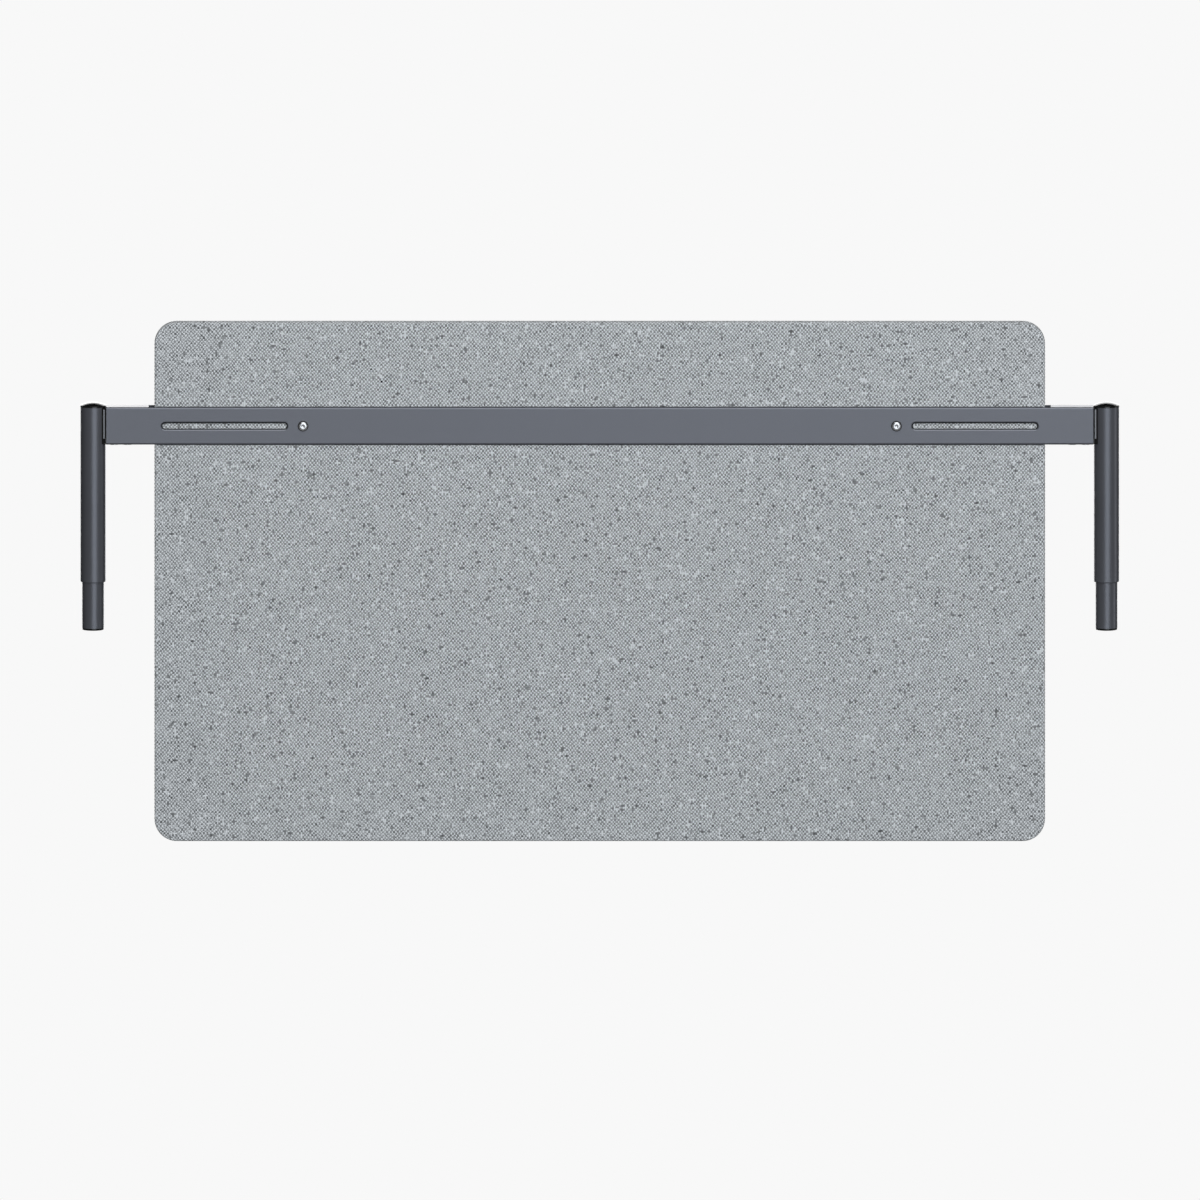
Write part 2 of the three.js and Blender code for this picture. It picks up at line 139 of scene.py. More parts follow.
# Posts
POST_WALL = 2 * MM
POST_END_ROUND = 1.5 * MM
POST_TOP_ROUND = 0.4 * MM
TUBE_CHAMFER = 0.3 * MM
CAP_LAP = 0.9 * MM  # of the cap's rim down over the tube
CAP_CROWN = 0.6 * MM  # of the cap over its CAD piece
CAP_RIM = 1.2 * MM
CAP_RIM_ROUND = 0.6 * MM
CAP_RIM_TURN = 68  # degrees of the rim's round before the dome takes over
CAP_CLEARANCE = 0.08 * MM
CAP_DOME_STEPS = 24
FLANGE_ROUND = 0.15 * MM
PLUG_SKIRT = 12 * MM
PLUG_WALL = 2 * MM
PLUG_LEAD = 1.2 * MM
PLUG_TAPER = 0.6 * MM
GROOVE_COUNT = 3
GROOVE_START = 3.2 * MM
GROOVE_PITCH = 2.4 * MM
GROOVE_DEPTH = 0.4 * MM
GROOVE_HALF = 0.5 * MM
FOOT_HEIGHT = 2 * MM
FOOT_ROUND = 0.8 * MM
LOCK_HEIGHT = 22 * MM
BOSS_ROUND = 0.8 * MM
BOSS_BEVEL = 0.25 * MM

ROUND = 96  # segments of the posts
SMALL_ROUND = 64  # segments of washers, bosses and bores
SCREW_ROUND = 48  # segments of screws
OVERCUT = 2 * MM
SMOOTH_ANGLE = math.radians(28)
FLAT_ANGLE = math.radians(1)
SAME_PLACE = 0.001 * MM

# ----------------------------------------------------------------------------------------------
# Mesh tools


def add_piece(name, bm):
    """Makes an object of a bmesh, with its faces pointing out."""
    bmesh.ops.recalc_face_normals(bm, faces=bm.faces)
    mesh = bpy.data.meshes.new(name)
    bm.to_mesh(mesh)
    bm.free()
    piece = bpy.data.objects.new(name, mesh)
    bpy.context.scene.collection.objects.link(piece)
    return piece


def lofted(name, rings, looped=False):
    """A closed skin through rings of points. A ring of one point is a pole, and a looped skin has no ends."""
    bm = bmesh.new()
    made = [[bm.verts.new(point) for point in ring] for ring in rings]
    pairs = list(zip(made, made[1:]))
    if looped:
        pairs.append((made[-1], made[0]))
    for low, high in pairs:
        count = max(len(low), len(high))
        for i in range(count):
            j = (i + 1) % count
            corners = []
            for vertex in (low[i % len(low)], low[j % len(low)], high[j % len(high)], high[i % len(high)]):
                if vertex not in corners:
                    corners.append(vertex)
            bm.faces.new(corners)
    if not looped:
        for ring in (made[0], made[-1]):
            if len(ring) > 2:
                bm.faces.new(ring)
    return add_piece(name, bm)


def circle(radius, height, segments):
    if radius == 0:
        return [Vector((0, 0, height))]
    turns = [2 * math.pi * i / segments for i in range(segments)]
    return [Vector((radius * math.cos(t), radius * math.sin(t), height)) for t in turns]


def turned(name, profile, segments=ROUND, looped=False):
    """A body of revolution about Z, from (radius, height) corners."""
    return lofted(name, [circle(r, z, segments) for r, z in profile], looped)


def bend(centre, radius, start, end, steps=6):
    """Points of a round corner in a profile, its angles in degrees."""
    points = []
    for i in range(steps + 1):
        angle = math.radians(start + (end - start) * i / steps)
        points.append((centre[0] + radius * math.cos(angle), centre[1] + radius * math.sin(angle)))
    return points


def rounded_rectangle(half_width, half_height, radius, arc_steps=12, side_steps=1):
    """A flat outline as (u, v) points, counter-clockwise."""
    arcs = []
    for u, v, start in ((1, 1, 0), (-1, 1, 90), (-1, -1, 180), (1, -1, 270)):
        centre = (u * (half_width - radius), v * (half_height - radius))
        arcs.append(bend(centre, radius, start, start + 90, arc_steps))
    points = []
    for arc, following in zip(arcs, arcs[1:] + arcs[:1]):
        points += arc
        start, end = Vector(arc[-1]), Vector(following[0])
        points += [tuple(start.lerp(end, i / side_steps)) for i in range(1, side_steps)]
    return points


def upright(outline, y):
    return [Vector((u, y, SCREEN_MIDDLE + v)) for u, v in outline]


def across(outline, x, z):
    return [Vector((x, u, z + v)) for u, v in outline]


def apply_modifiers(piece):
    graph = bpy.context.evaluated_depsgraph_get()
    mesh = bpy.data.meshes.new_from_object(piece.evaluated_get(graph))
    piece.modifiers.clear()
    piece.data = mesh


def subtract(piece, *cutters):
    for cutter in cutters:
        modifier = piece.modifiers.new("cut", "BOOLEAN")
        modifier.operation = "DIFFERENCE"
        modifier.solver = "EXACT"
        modifier.object = cutter
    apply_modifiers(piece)
    for cutter in cutters:
        bpy.data.objects.remove(cutter)


def smooth(piece, bevel=0, segments=3, angle=40):
    """Rounds the sharp edges by bevel, then shades the surface smoothly and keeps its flats flat."""
    if bevel:
        modifier = piece.modifiers.new("bevel", "BEVEL")
        modifier.width = bevel
        modifier.segments = segments
        modifier.limit_method = "ANGLE"
        modifier.angle_limit = math.radians(angle)
        apply_modifiers(piece)
    piece.data.shade_smooth()
    piece.data.set_sharp_from_angle(angle=SMOOTH_ANGLE)
    modifier = piece.modifiers.new("weighted", "WEIGHTED_NORMAL")
    modifier.weight = 100
    modifier.keep_sharp = True
    apply_modifiers(piece)
    return piece


def rod(radius, low, high, segments=SMALL_ROUND):
    return turned("cutter", [(radius, low), (radius, high)], segments)


def put(piece, x, y, z, direction="up"):
    """Stands a piece built along Z at a place, its Z turned to the front, back or down."""
    turn = {"up": 0, "front": 90, "back": -90, "down": 180}[direction]
    piece.matrix_world = Matrix.Translation((x, y, z)) @ Matrix.Rotation(math.radians(turn), 4, "X")
    bpy.context.view_layer.update()
    return piece


def middle(node):
    low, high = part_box(node)
    return (low + high) / 2


def length_of(node, axis):
    low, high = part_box(node)
    return (high - low)[axis]


def dress(piece, body, slot, material, *replaced):
    """Gives a piece its material and body, and hides the CAD nodes that it stands for. The slot is not used.
    """
    piece.data.materials.clear()
    piece.data.materials.append(material)
    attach(piece, body)
    if replaced:
        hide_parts(*replaced)


# ----------------------------------------------------------------------------------------------
# Material tools


class Shader:
    """The nodes of one material, around a Principled BSDF. Positions are metres in the piece's own space."""

    def __init__(self, name):
        self.material = bpy.data.materials.new(name)
        self.material.use_nodes = True
        self.tree = self.material.node_tree
        self.surface = next(n for n in self.tree.nodes if n.type == "BSDF_PRINCIPLED")
        self.place = self.tree.nodes.new("ShaderNodeTexCoord")

    def node(self, kind, inputs=(), **settings):
        """A new node, with its settings, and its inputs as socket name or number to value or socket."""
        made = self.tree.nodes.new("ShaderNode" + kind)
        for name, value in settings.items():
            setattr(made, name, value)
        for name, value in dict(inputs).items():
            if isinstance(value, bpy.types.NodeSocket):
                self.tree.links.new(value, made.inputs[name])
            else:
                made.inputs[name].default_value = value
        return made

    def math(self, operation, *values):
        return self.node("Math", enumerate(values), operation=operation).outputs[0]

    def mix(self, factor, low, high):
        inputs = {"Factor": factor, 2: low, 3: high}
        return self.node("Mix", inputs, data_type="FLOAT").outputs[0]

    def blend(self, factor, low, high):
        """A colour between two colours."""
        inputs = {"Factor": factor, 6: low, 7: high}
        return self.node("Mix", inputs, data_type="RGBA").outputs[2]

    def vector(self, x, y, z=0.0):
        return self.node("CombineXYZ", {0: x, 1: y, 2: z}).outputs[0]

    def parts(self, vector):
        return self.node("SeparateXYZ", {0: vector}).outputs

    def noise(self, scale, vector=None, detail=2.0, roughness=0.5, distortion=0.0):
        inputs = {
            "Vector": vector or self.place.outputs["Object"],
            "Scale": scale,
            "Detail": detail,
            "Roughness": roughness,
            "Distortion": distortion,
        }
        return self.node("TexNoise", inputs).outputs["Fac"]

    def cells(self, scale):
        """The distance to the middle of a random cell."""
        inputs = {"Vector": self.place.outputs["Object"], "Scale": scale}
        return self.node("TexVoronoi", inputs, feature="F1").outputs["Distance"]

    def ramp(self, value, low, high, out_low=0.0, out_high=1.0):
        """value from low..high to out_low..out_high, held at the ends."""
        inputs = {"Value": value, 1: low, 2: high, 3: out_low, 4: out_high}
        return self.node("MapRange", inputs).outputs[0]

    def bump(self, height, distance, strength=1.0):
        inputs = {"Height": height, "Distance": distance, "Strength": strength}
        normal = self.node("Bump", inputs).outputs[0]
        self.tree.links.new(normal, self.surface.inputs["Normal"])

    def set(self, **values):
        """Sets the surface's inputs, with _ for a space, to values or sockets."""
        for name, value in values.items():
            socket = self.surface.inputs[name.replace("_", " ")]
            if isinstance(value, bpy.types.NodeSocket):
                self.tree.links.new(value, socket)
            else:
                socket.default_value = value


def grey(value, tint=(1, 1, 1)):
    return (value * tint[0], value * tint[1], value * tint[2], 1)


# ----------------------------------------------------------------------------------------------
# Materials

WARP_PITCH = 2.4 * MM
WEFT_PITCH = 2.7 * MM
SKIPPED = 0.03  # share of the crossings where the wrong thread is on top
FABRIC_TINT = (0.936, 0.968, 0.991)
SWAY_SCALE = 110
SWAY = 2.2  # threads
SLUB_STRETCH = 0.16  # noise steps from crossing to crossing, along one thread
SLUB_STRIDE = 3.7  # noise steps from one thread to the next


def woven_fabric(face_depth):
    """A heathered plain weave: slubby threads, each with its own tone, and small gaps between them, painted
    darker as shade.
    """
    s = Shader("woven_fabric")
    x, y, z = s.parts(s.place.outputs["Object"])
    across_x, _, across_z = s.parts(s.place.outputs["Normal"])
    below_face = s.math("SUBTRACT", face_depth, s.math("ABSOLUTE", y))
    u = s.math("MULTIPLY_ADD", across_x, below_face, x)
    v = s.math("MULTIPLY_ADD", across_z, below_face, z)
    flat = s.vector(u, v)
    sway_u = s.math("SUBTRACT", s.noise(SWAY_SCALE, flat, detail=3, roughness=0.6), 0.5)
    sway_v = s.math("SUBTRACT", s.noise(SWAY_SCALE, s.vector(v, u, 0.37), detail=3, roughness=0.6), 0.5)
    warp_count = s.math("MULTIPLY_ADD", sway_u, SWAY, s.math("DIVIDE", u, WARP_PITCH))
    weft_count = s.math("MULTIPLY_ADD", sway_v, SWAY, s.math("DIVIDE", v, WEFT_PITCH))
    warp = s.math("FLOOR", warp_count)
    weft = s.math("FLOOR", weft_count)
    crossing = s.node("TexWhiteNoise", {"Vector": s.vector(warp, weft)}, noise_dimensions="2D").outputs
    skipped = s.math("LESS_THAN", s.parts(crossing["Color"])[1], SKIPPED)
    warp_over = s.math("FLOORED_MODULO", s.math("ADD", s.math("ADD", warp, weft), skipped), 2.0)
    # Tones: each thread drifts along its length, and each crossing shows its own tuft of fibres.
    along_warp = s.math("MULTIPLY", weft_count, SLUB_STRETCH)
    warp_slub = s.noise(1, s.vector(s.math("MULTIPLY", warp, SLUB_STRIDE), along_warp), 2)
    along_weft = s.math("MULTIPLY", warp_count, SLUB_STRETCH)
    weft_slub = s.noise(1, s.vector(along_weft, s.math("MULTIPLY", weft, SLUB_STRIDE), 5.3), 2)
    slub = s.mix(warp_over, weft_slub, warp_slub)
    tuft = crossing["Value"]
    tone = s.math("MULTIPLY_ADD", s.math("SUBTRACT", slub, 0.5), 0.8, s.math("MULTIPLY", tuft, 0.3))
    tone = s.math("MULTIPLY_ADD", warp_over, 0.7, tone)
    # Relief: the thread on top is round across its width and dives at both ends of its crossing.
    round_u = s.math("ABSOLUTE", s.math("SINE", s.math("MULTIPLY", warp_count, math.pi)))
    round_v = s.math("ABSOLUTE", s.math("SINE", s.math("MULTIPLY", weft_count, math.pi)))
    warp_top = s.math("MULTIPLY", round_u, s.math("MULTIPLY_ADD", round_v, 0.5, 0.5))
    weft_top = s.math("MULTIPLY", round_v, s.math("MULTIPLY_ADD", round_u, 0.5, 0.5))
    relief = s.mix(warp_over, weft_top, warp_top)
    fibres = s.noise(2600, flat, detail=4, roughness=0.7, distortion=0.6)
    height = s.math("MULTIPLY_ADD", fibres, 0.35, relief)
    # Painted shade: the colour darkens where the relief is low, in the gaps between threads.
    light = s.math("MULTIPLY", s.math("ADD", tone, 0.2), s.math("MULTIPLY_ADD", relief, 0.5, 0.55))
    light = s.math("MULTIPLY", light, s.ramp(fibres, 0.3, 0.7, 0.9, 1.1))
    dark = grey(0.0, FABRIC_TINT)
    pale = grey(0.95, FABRIC_TINT)
    s.set(
        Base_Color=s.blend(s.ramp(light, -0.06, 0.86), dark, pale),
        Roughness=s.ramp(fibres, 0.3, 0.7, 0.86, 0.98),
        Specular_IOR_Level=0.25,
        Sheen_Weight=0.12,
        Sheen_Roughness=0.5,
    )
    s.bump(height, 0.45 * MM, 0.55)
    return s.material


def sewing_thread():
    s = Shader("sewing_thread")
    twist = s.node("TexWave", {"Scale": 900, "Distortion": 2.0, "Detail": 2.0}).outputs["Fac"]
    s.set(
        Base_Color=s.blend(twist, grey(0.24, FABRIC_TINT), grey(0.42, FABRIC_TINT)),
        Roughness=0.8,
        Sheen_Weight=0.2,
    )
    s.bump(twist, 0.08 * MM, 0.6)
    return s.material


def foam():
    s = Shader("foam_padding")
    pores = s.cells(1400)
    patches = s.noise(25, detail=3)
    s.set(
        Base_Color=s.blend(patches, grey(0.62, (1, 0.98, 0.93)), grey(0.76, (1, 0.985, 0.95))),
        Roughness=s.ramp(pores, 0, 0.6, 0.95, 0.85),
    )
    s.bump(pores, 0.4 * MM, 0.7)
    return s.material


def particle_board():
    s = Shader("particle_board")
    chips = s.node("TexVoronoi", {"Scale": 320}, feature="F1").outputs["Color"]
    chip = s.parts(chips)[0]
    dust = s.noise(1500, detail=4)
    tone = s.math("MULTIPLY_ADD", dust, 0.4, s.math("MULTIPLY", chip, 0.6))
    s.set(
        Base_Color=s.blend(tone, (0.16, 0.095, 0.045, 1), (0.46, 0.32, 0.18, 1)),
        Roughness=s.ramp(tone, 0, 1, 0.75, 0.95),
    )
    s.bump(tone, 0.25 * MM, 0.5)
    return s.material


def edge_wear(s, radius):
    """1 along sharp edges, fading away from them."""
    soft = s.node("Bevel", {"Radius": radius}, samples=4).outputs[0]
    sharp = s.node("NewGeometry").outputs["Normal"]
    together = s.node("VectorMath", {0: soft, 1: sharp}, operation="DOT_PRODUCT").outputs["Value"]
    return s.ramp(together, 0.995, 0.9)


def painted_metal(name, colour, metallic, roughness, grain=0.05):
    """A satin powder coat: fine grain, faint flow marks, and paint worn a little thinner along the edges."""
    s = Shader(name)
    speckle = s.noise(5200, detail=2, roughness=0.6)
    peel = s.noise(900, detail=2)
    flow = s.noise(14, detail=3)
    worn = s.math("MULTIPLY", edge_wear(s, 0.5 * MM), s.ramp(s.noise(120, detail=3), 0.4, 0.65, 0.0, 0.35))
    light = s.math("MULTIPLY", s.ramp(speckle, 0.3, 0.7, 0.9, 1.1), s.ramp(flow, 0.3, 0.7, 0.97, 1.03))
    base = s.blend(s.math("MULTIPLY", light, 0.5), (0, 0, 0, 1), tuple(2 * c for c in colour) + (1,))
    s.set(
        Base_Color=s.blend(worn, base, grey(0.3)),
        Metallic=metallic,
        Roughness=s.math("ADD", s.ramp(speckle, 0.3, 0.7, roughness - 0.03, roughness + 0.03),
                         s.ramp(flow, 0.3, 0.7, -0.015, 0.015)),
    )
    s.bump(s.math("MULTIPLY_ADD", peel, 0.7, speckle), grain * MM, 0.35)
    return s.material


def moulded_plastic(name, value, roughness, speckle=0.02, specular=0.5):
    """Black moulded plastic with a faint uneven gloss and hairline handling marks."""
    s = Shader(name)
    haze = s.noise(45, detail=4)
    scratches = s.noise(300, s.node("Mapping", {
        "Vector": s.place.outputs["Object"],
        "Scale": (1, 14, 14),
        "Rotation": (0.3, 0.2, 0.7),
    }).outputs[0], detail=6, roughness=0.7)
    fine = s.noise(3500, detail=2)
    s.set(
        Base_Color=s.blend(haze, grey(value * 0.8), grey(value * 1.2)),
        Roughness=s.math("ADD", s.ramp(haze, 0.3, 0.7, roughness - 0.03, roughness + 0.03),
                         s.ramp(scratches, 0.6, 0.75, 0.0, 0.06)),
        Specular_IOR_Level=specular,
    )
    s.bump(fine, speckle * MM, 0.3)
    return s.material


def turned_steel(name, colour, roughness, ring_depth=0.02):
    """Steel turned on a lathe: fine rings round the piece's own axis, and a slightly uneven polish."""
    s = Shader(name)
    x, y, _ = s.parts(s.place.outputs["Object"])
    radius = s.math("SQRT", s.math("ADD", s.math("MULTIPLY", x, x), s.math("MULTIPLY", y, y)))
    rings = s.noise(1, s.vector(s.math("MULTIPLY", radius, 9000), 0.0), detail=3, roughness=0.7)
    polish = s.noise(400, detail=3)
    worn = s.math("MULTIPLY", edge_wear(s, 0.3 * MM), 0.5)
    tone = s.math("MULTIPLY_ADD", rings, 0.5, s.math("MULTIPLY", polish, 0.5))
    base = s.blend(s.ramp(tone, 0.3, 0.7), tuple(0.85 * c for c in colour) + (1,), tuple(colour) + (1,))
    s.set(
        Base_Color=s.blend(worn, base, grey(0.8)),
        Metallic=1.0,
        Roughness=s.ramp(tone, 0.3, 0.7, roughness - 0.05, roughness + 0.07),
    )
    s.bump(rings, ring_depth * MM, 0.4)
    return s.material


low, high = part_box("front_fabric_cover")
FACE_DEPTH = -low.y
SCREEN_HALF_WIDTH = high.x
SCREEN_HALF_HEIGHT = (high.z - low.z) / 2
SCREEN_MIDDLE = (high.z + low.z) / 2
SEAM_HALF_GAP = -high.y

fabric = woven_fabric(FACE_DEPTH)
thread = sewing_thread()
padding = foam()
board = particle_board()
graphite = painted_metal("graphite_paint", (0.165, 0.172, 0.195), metallic=0.75, roughness=0.36)
casting = painted_metal("cast_paint", (0.25, 0.257, 0.275), metallic=0.7, roughness=0.45, grain=0.12)
black_gloss = moulded_plastic("black_gloss_plastic", value=0.004, roughness=0.14)
nylon = moulded_plastic("black_nylon", value=0.02, roughness=0.5, speckle=0.06)
# Black for the strips and gaskets that stand in for shade at the crossbar.
shade_black = moulded_plastic("black_rubber_for_shade", value=0.006, roughness=0.7, speckle=0.06, specular=0.15)
bright_steel = turned_steel("bright_steel", (0.74, 0.75, 0.77), roughness=0.24)
black_oxide = turned_steel("black_oxide_steel", (0.055, 0.056, 0.06), roughness=0.38)

# ----------------------------------------------------------------------------------------------
# Screen

CROWN_STEPS = 8
EDGE_STEPS = 8
CORNER_STEPS = 16
SIDE_STEPS = 24
SMALLEST_CORNER = 2 * MM
PAD_STEP = 0.1 * MM  # smallest depth of a pad's first step over its flat back


def screen_outline(inset):
    radius = max(SCREEN_CORNER - inset, SMALLEST_CORNER)
    half_width, half_height = SCREEN_HALF_WIDTH - inset, SCREEN_HALF_HEIGHT - inset
    return rounded_rectangle(half_width, half_height, radius, CORNER_STEPS, SIDE_STEPS)


def crowned_skin(inset, thinner):
    """(inset, depth) steps from the seam, round the edge and over the face, which thinner lowers."""
    edge_round = SCREEN_EDGE_ROUND - inset / 2
    face = FACE_DEPTH - thinner
    steps = bend((inset + SEAM_LIP, SEAM_HALF_GAP + SEAM_LIP), SEAM_LIP, 270, 180, 4)
    steps += bend((inset + edge_round, face - FACE_CROWN - edge_round), edge_round, 180, 90, EDGE_STEPS)
    start = inset + edge_round
    for i in range(1, CROWN_STEPS + 1):
        share = i / CROWN_STEPS
        steps.append((start + CROWN_REACH * share, face - FACE_CROWN * (1 - math.sin(share * math.pi / 2))))
    return steps


def fabric_cover(name, side):
    """One face of the fabric, side -1 at the front, with its edge turned in: a thin closed shell."""
    outer = crowned_skin(0, 0)
    inner = [(inset, max(depth, SEAM_HALF_GAP)) for inset, depth in crowned_skin(FABRIC, FABRIC)]
    rings = [upright(screen_outline(inset), side * depth) for inset, depth in reversed(outer)]
    rings += [upright(screen_outline(inset), side * depth) for inset, depth in inner]
    return lofted(name, rings)


def screw_holes(radius, low_y, high_y):
    holes = []
    for side, _ in SIDES:
        place = middle(side + "_screen_screw")
        hole = rod(radius, low_y, high_y)
        holes.append(put(hole, place.x, 0, place.z, "back"))
    return holes


def add_fabric():
    clearance = SCREW_RADIUS + THREAD_GAP
    front = fabric_cover("front_fabric", -1)
    subtract(front, *screw_holes(clearance, -2 * FACE_DEPTH, 0))
    rear = fabric_cover("rear_fabric", 1)
    covers = (front, "front_fabric_cover", "front_foam"), (rear, "rear_fabric_cover", "rear_foam")
    for cover, node, rests_on in covers:
        smooth(cover)
        dress(cover, "screen_frame", "screen_fabric", fabric, node)


def add_foam():
    inset = FABRIC + GAP
    for name, node, side in (("front_foam", "front_pad", -1), ("rear_foam", "rear_pad", 1)):
        low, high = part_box(node)
        back = min(abs(low.y), abs(high.y))
        top = crowned_skin(inset, inset)
        top = [step for step in top if step[1] > back + PAD_STEP]
        rings = [upright(screen_outline(top[0][0]), side * back)]
        rings += [upright(screen_outline(i), side * depth) for i, depth in top]
        piece = lofted(name, rings)
        if side < 0:
            insert = length_of("left_screen_insert", 0) / 2 + GAP
            subtract(piece, *screw_holes(insert, -2 * FACE_DEPTH, 0))
        smooth(piece)
        dress(piece, "screen_frame", "padding", padding, node)


def stitch(bm, place, along, out):
    """A slanted stitch over the seam: a spindle of thread that dives into the fabric at both ends."""
    rings, sides = 6, 6
    side = Vector((0, 1, 0))
    made = []
    for i in range(rings + 1):
        share = i / rings
        swell = math.sin(math.pi * share)
        centre = place + along * (STITCH_LENGTH * (share - 0.5)) + side * (STITCH_SLANT * (2 * share - 1))
        centre += out * (STITCH_RADIUS * (0.9 * swell - 0.7))
        radius = STITCH_RADIUS * (0.35 + 0.65 * swell)
        turns = [2 * math.pi * k / sides for k in range(sides)]
        made.append([bm.verts.new(centre + radius * (math.cos(t) * out + math.sin(t) * side)) for t in turns])
    for low, high in zip(made, made[1:]):
        for k in range(sides):
            j = (k + 1) % sides
            bm.faces.new((low[k], low[j], high[j], high[k]))
    bm.faces.new(made[0])
    bm.faces.new(made[-1])


def add_seam():
    """The row of stitches that closes the fabric all round, at mid-thickness."""
    outline = upright(screen_outline(0), 0)
    bm = bmesh.new()
    walked = 0
    due = 0
    for start, end in zip(outline, outline[1:] + outline[:1]):
        step = end - start
        along = step.normalized()
        out = Vector((along.z, 0, -along.x))
        while due < walked + step.length:
            stitch(bm, start + along * (due - walked), along, out)
            due += STITCH_PITCH
        walked += step.length
    piece = add_piece("seam_stitches", bm)
    piece.data.shade_smooth()
    dress(piece, "screen_frame", "screen_fabric", thread)


# ----------------------------------------------------------------------------------------------
# Crossbar


def accessory_slot(x, z, front):
    """A cutter for a slot with round ends and a chamfer round its front edge."""
    rings = []
    for offset, y in (
        (SLOT_LIP, front - OVERCUT),
        (SLOT_LIP, front),
        (0, front + SLOT_LIP_DEPTH),
        (0, front + BAR_WALL + OVERCUT),
    ):
        half_height = SLOT_HEIGHT / 2 + offset
        outline = rounded_rectangle(SLOT_LENGTH / 2 + offset, half_height, half_height * NEARLY_ROUND, 16)
        rings.append([Vector((x + u, y, z + v)) for u, v in outline])
    return lofted("cutter", rings)


def slot_shade_liner(side, x, z, front):
    """A black edging strip that lines an accessory slot; its black stands in for the shade along the slot's
    edges.
    """
    rings = []
    half_length, half_height = SLOT_LENGTH / 2, SLOT_HEIGHT / 2
    near, far = front + LINER_RECESS, front + BAR_WALL
    edge = LINER_EDGE
    for inset, y in (
        (0, near + edge), (edge, near), (SLOT_LINER - edge, near), (SLOT_LINER, near + edge),
        (SLOT_LINER, far - edge), (SLOT_LINER - edge, far), (edge, far), (0, far - edge),
    ):
        inset += LINER_CLEARANCE
        half = half_height - inset
        outline = rounded_rectangle(half_length - inset, half, half * NEARLY_ROUND, 16)
        rings.append([Vector((x + u, y, z + v)) for u, v in outline])
    # Painted shade: the liner's black stands in for the shade along the slot's edges.
    shade_liner = smooth(lofted(side + "_slot_shade_liner", rings, looped=True))
    dress(shade_liner, "screen_frame", "black_nylon", shade_black)


def end_gap_shade(side, sign):
    """A black gasket that fills the groove between the post, the bracket and the crossbar's end; its black
    stands in for the shade in that gap.
    """
    bar_low, bar_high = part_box("crossbar_tube")
    bracket_low, bracket_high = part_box(side + "_post_bracket")
    post = middle(side + "_post_tube")
    post_radius = length_of(side + "_post_tube", 0) / 2
    flange_half = bracket_high.y
    half_depth = bar_high.y - SEAL_RECESS
    reach = post_radius + GAP - SEAL_END_GAP
    flange_edge = abs(bracket_low.x - post.x) if sign < 0 else abs(bracket_high.x - post.x)
    flange_end = flange_edge + FLANGE_WIDTH

    def block(near, far, half, bottom, top):
        outline = ((near, -half), (far, -half), (far, half), (near, half))
        rings = [[Vector((post.x - sign * u, v, z)) for u, v in outline] for z in (bottom, top)]
        return lofted("cutter", rings)

    # Painted shade: this black block darkens the gaps at the crossbar's end, where shade falls.
    gap_shade_block = block(flange_edge - SEAL_LIP, reach, half_depth, bar_low.z + SEAL_INSET, bar_high.z - SEAL_INSET)
    gap_shade_block.name = side + "_end_gap_shade"
    room = SEAL_CLEARANCE
    floor, ceiling = bracket_low.z - room, bracket_high.z + room
    tongue_half = bar_high.y - BAR_WALL - GAP + room
    window = bracket_high.z - SEAL_BRIDGE
    cover_near, cover_far = flange_edge + FLANGE_COVER, flange_end - FLANGE_COVER / 2
    subtract(
        gap_shade_block,
        put(rod(post_radius + room, -OVERCUT, 2 * bar_high.z, ROUND), post.x, 0, 0),
        block(cover_near, cover_far, flange_half + OVERCUT, floor, window),
        block(flange_edge - room, flange_end + room, flange_half + room, floor, ceiling),
        block(flange_edge - room, reach + OVERCUT, tongue_half, floor, ceiling),
    )
    smooth(gap_shade_block, bevel=SEAL_BEVEL, segments=2, angle=50)
    dress(gap_shade_block, "screen_frame", "black_nylon", shade_black)


def shade_line_seals():
    """Black lip strips along the screen's faces, where the screen enters and leaves the crossbar; their black
    stands in for the contact shade in the narrow gap there.
    """
    low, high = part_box("crossbar_tube")
    half_length = SCREEN_HALF_WIDTH - SCREEN_EDGE_ROUND
    bm = bmesh.new()
    near = FACE_DEPTH + SEAL_CLEARANCE
    far = FACE_DEPTH + BAR_SLOT_SIDE_GAP - SEAL_CLEARANCE
    for face in (-1, 1):
        for level, up in ((high.z, 1), (low.z, -1)):
            profile = [
                (near, -SEAL_ROOT),
                (far, -SEAL_ROOT),
                (far, SEAL_SLOPE_FOOT * SEAL_STANDS),
                (near + SEAL_TIP, SEAL_STANDS),
                (near, SEAL_STANDS),
            ]
            ends = []
            for x in (-half_length, half_length):
                ends.append([bm.verts.new((x, face * depth, level + up * rise)) for depth, rise in profile])
            for k in range(len(profile)):
                j = (k + 1) % len(profile)
                bm.faces.new((ends[0][k], ends[0][j], ends[1][j], ends[1][k]))
            bm.faces.new(ends[0])
            bm.faces.new(ends[1])
    # Painted shade: these black strips draw the shadow line along the crossbar's edges.
    shade_strips = smooth(add_piece("shade_line_seals", bm))
    dress(shade_strips, "screen_frame", "black_nylon", shade_black)


